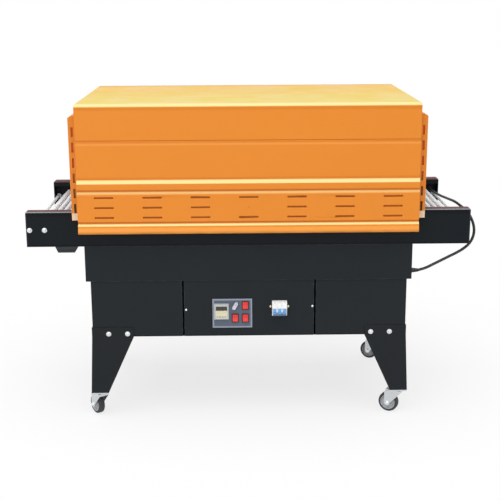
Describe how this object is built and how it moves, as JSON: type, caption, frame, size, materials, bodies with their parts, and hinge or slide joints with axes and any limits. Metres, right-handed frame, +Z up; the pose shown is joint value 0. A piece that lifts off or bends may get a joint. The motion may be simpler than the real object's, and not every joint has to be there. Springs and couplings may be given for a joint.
{
  "type": "heat shrink tunnel",
  "caption": "Heat shrink tunnel with an insulated orange hood over a roller conveyor, on a dark sheet steel cabinet with legs, swivel casters and a switch panel.",
  "frame": {"origin": "on the floor, under the middle of the machine", "axes": "+X along the conveyor, to the right seen from the controls; +Y away from the controls, to the rear; +Z up"},
  "size_m": [1.6169, 0.764, 1.172],
  "materials": {
    "hood_paint": "smooth gloss enamel",
    "rail_paint": "satin enamel, worn to primer on the upper flange",
    "roller_steel": "bright zinc plate",
    "chain_steel": "oiled steel",
    "tray_paint": "satin enamel",
    "lining_steel": "galvanised",
    "cabinet_paint": "satin enamel",
    "leg_paint": "satin enamel",
    "plate_paint": "matt enamel",
    "controller_plastic": "smooth moulding",
    "black_plastic": "smooth moulding",
    "red_plastic": "gloss moulding",
    "knob_plastic": "satin",
    "breaker_plastic": "smooth moulding",
    "lever_plastic": "gloss moulding",
    "caster_zinc": "zinc plate",
    "wheel_rubber": "matt",
    "cable_rubber": "matt sheath"
  },
  "bodies": {
    "tunnel": {"hood_top_cover": "hood_paint", "hood_front_wall": "hood_paint", "hood_rear_wall": "hood_paint", "front_vent_skirt": "hood_paint", "rear_vent_skirt": "hood_paint", "left_end_jambs": "hood_paint", "right_end_jambs": "hood_paint", "left_end_frame": "hood_paint", "right_end_frame": "hood_paint", "front_rail": "rail_paint", "rear_rail": "rail_paint", "rail_ties": "rail_paint", "conveyor_rollers": "roller_steel", "conveyor_chains": "chain_steel", "end_shafts": "chain_steel", "infeed_tray": "tray_paint", "duct_plates": "lining_steel", "tunnel_ceiling": "lining_steel", "front_apron": "cabinet_paint", "rear_apron": "cabinet_paint", "apron_ends": "cabinet_paint", "apron_floor": "cabinet_paint", "front_side_panels": "cabinet_paint", "control_panel": "cabinet_paint", "rear_panels": "cabinet_paint", "cabinet_ends": "cabinet_paint", "cabinet_floor": "cabinet_paint", "front_left_leg": "leg_paint", "front_right_leg": "leg_paint", "rear_right_leg": "leg_paint", "rear_left_leg": "leg_paint", "control_plate": "plate_paint", "temperature_controller": "controller_plastic", "switch_rims": "black_plastic", "cable_glands": "black_plastic", "circuit_breaker": "breaker_plastic", "caster_plates": "caster_zinc", "link_cable": "cable_rubber"},
    "upper_rocker": {"upper_rocker": "red_plastic"},
    "lower_left_rocker": {"lower_left_rocker": "red_plastic"},
    "lower_right_rocker": {"lower_right_rocker": "red_plastic"},
    "speed_knob": {"speed_knob": "knob_plastic"},
    "breaker_lever": {"breaker_lever": "lever_plastic"},
    "front_left_caster": {"front_left_fork": "caster_zinc"},
    "front_right_caster": {"front_right_fork": "caster_zinc"},
    "rear_right_caster": {"rear_right_fork": "caster_zinc"},
    "rear_left_caster": {"rear_left_fork": "caster_zinc"},
    "front_left_wheel": {"front_left_wheel": "wheel_rubber"},
    "front_right_wheel": {"front_right_wheel": "wheel_rubber"},
    "rear_right_wheel": {"rear_right_wheel": "wheel_rubber"},
    "rear_left_wheel": {"rear_left_wheel": "wheel_rubber"}
  },
  "joints": [
    {"name": "front_left_swivel", "type": "hinge", "parent": "tunnel", "child": "front_left_caster", "pos_m": [-0.5555, -0.289, 0.095], "axis": [0, 0, 1], "continuous": true},
    {"name": "front_left_roll", "type": "hinge", "parent": "front_left_caster", "child": "front_left_wheel", "pos_m": [-0.57431, -0.26311, 0.0375], "axis": [-0.809, -0.5878, 0], "continuous": true},
    {"name": "front_right_swivel", "type": "hinge", "parent": "tunnel", "child": "front_right_caster", "pos_m": [0.5555, -0.289, 0.095], "axis": [0, 0, 1], "continuous": true},
    {"name": "front_right_roll", "type": "hinge", "parent": "front_right_caster", "child": "front_right_wheel", "pos_m": [0.52725, -0.27398, 0.0375], "axis": [-0.4695, -0.8829, 0], "continuous": true},
    {"name": "rear_right_swivel", "type": "hinge", "parent": "tunnel", "child": "rear_right_caster", "pos_m": [0.5555, 0.289, 0.095], "axis": [0, 0, 1], "continuous": true},
    {"name": "rear_right_roll", "type": "hinge", "parent": "rear_right_caster", "child": "rear_right_wheel", "pos_m": [0.52779, 0.305, 0.0375], "axis": [-0.5, -0.866, 0], "continuous": true},
    {"name": "rear_left_swivel", "type": "hinge", "parent": "tunnel", "child": "rear_left_caster", "pos_m": [-0.5555, 0.289, 0.095], "axis": [0, 0, 1], "continuous": true},
    {"name": "rear_left_roll", "type": "hinge", "parent": "rear_left_caster", "child": "rear_left_wheel", "pos_m": [-0.58203, 0.30689, 0.0375], "axis": [-0.5592, -0.829, 0], "continuous": true},
    {"name": "upper_rocker_tilt", "type": "hinge", "parent": "tunnel", "child": "upper_rocker", "pos_m": [-0.014, -0.321, 0.436], "axis": [1, 0, 0], "range_deg": [0, 20]},
    {"name": "lower_left_rocker_tilt", "type": "hinge", "parent": "tunnel", "child": "lower_left_rocker", "pos_m": [-0.051, -0.321, 0.388], "axis": [1, 0, 0], "range_deg": [0, 20]},
    {"name": "lower_right_rocker_tilt", "type": "hinge", "parent": "tunnel", "child": "lower_right_rocker", "pos_m": [-0.014, -0.321, 0.388], "axis": [1, 0, 0], "range_deg": [0, 20]},
    {"name": "speed_knob_turn", "type": "hinge", "parent": "tunnel", "child": "speed_knob", "pos_m": [-0.051, -0.321, 0.436], "axis": [0, 1, 0], "range_deg": [-170, 120]},
    {"name": "breaker_lever_throw", "type": "hinge", "parent": "tunnel", "child": "breaker_lever", "pos_m": [0.1105, -0.338, 0.418], "axis": [-1, 0, 0], "range_deg": [0, 80]}
  ]
}
